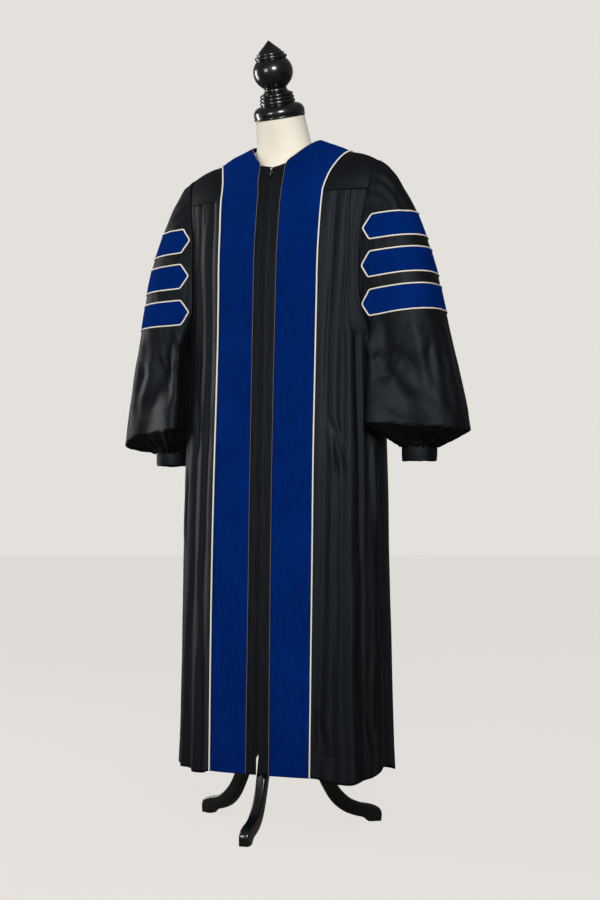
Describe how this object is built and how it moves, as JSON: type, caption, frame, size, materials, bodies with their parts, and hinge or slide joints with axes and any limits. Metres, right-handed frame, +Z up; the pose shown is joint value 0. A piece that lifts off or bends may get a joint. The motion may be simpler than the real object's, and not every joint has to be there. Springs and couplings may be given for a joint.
{
  "type": "graduation gown on a dress form",
  "caption": "Long black doctoral gown with blue velvet front facings and sleeve bars, pale cord piping and full gathered sleeves, worn by a limbless dress form on a tripod stand.",
  "frame": {"origin": "on the floor, in the middle of the whole part's footprint", "axes": "+Z up, the gown's front faces -Y, the wearer's left is +X"},
  "size_m": [0.848, 0.4046, 1.7452],
  "materials": {
    "black_cloth": "satin-matte woven polyester",
    "blue_velvet": "short-pile velvet",
    "cream_cord": "twisted satin cord",
    "cream_jersey": "smooth jersey over a hard form",
    "black_lacquer": "turned wood, gloss black lacquer",
    "zip_black": "moulded coil and painted slider",
    "pull_metal": "dark nickel"
  },
  "bodies": {
    "gown_on_form": {"gown_front_left": "black_cloth", "gown_front_right": "black_cloth", "gown_back": "black_cloth", "gown_yoke": "black_cloth", "placket_left": "black_cloth", "placket_right": "black_cloth", "sleeve_left": "black_cloth", "sleeve_right": "black_cloth", "cuff_left": "black_cloth", "cuff_right": "black_cloth", "velvet_facing_left": "blue_velvet", "velvet_facing_right": "blue_velvet", "bar_left_1": "blue_velvet", "bar_left_2": "blue_velvet", "bar_left_3": "blue_velvet", "bar_right_1": "blue_velvet", "bar_right_2": "blue_velvet", "bar_right_3": "blue_velvet", "piping_front_left": "cream_cord", "piping_front_right": "cream_cord", "piping_bar_left_1": "cream_cord", "piping_bar_left_2": "cream_cord", "piping_bar_left_3": "cream_cord", "piping_bar_right_1": "cream_cord", "piping_bar_right_2": "cream_cord", "piping_bar_right_3": "cream_cord", "zip_chain": "zip_black", "zip_slider": "zip_black", "form_torso": "cream_jersey", "form_cap": "black_lacquer", "stand_pole": "black_lacquer", "stand_hub": "black_lacquer", "stand_leg_front": "black_lacquer", "stand_leg_left": "black_lacquer", "stand_leg_right": "black_lacquer"},
    "zip_pull": {"zip_pull": "pull_metal"}
  },
  "joints": [
    {"name": "pull_hinge", "type": "hinge", "parent": "gown_on_form", "child": "zip_pull", "pos_m": [0, -0.0269, 1.4603], "axis": [-1, 0, 0], "range_deg": [0, 150]}
  ]
}
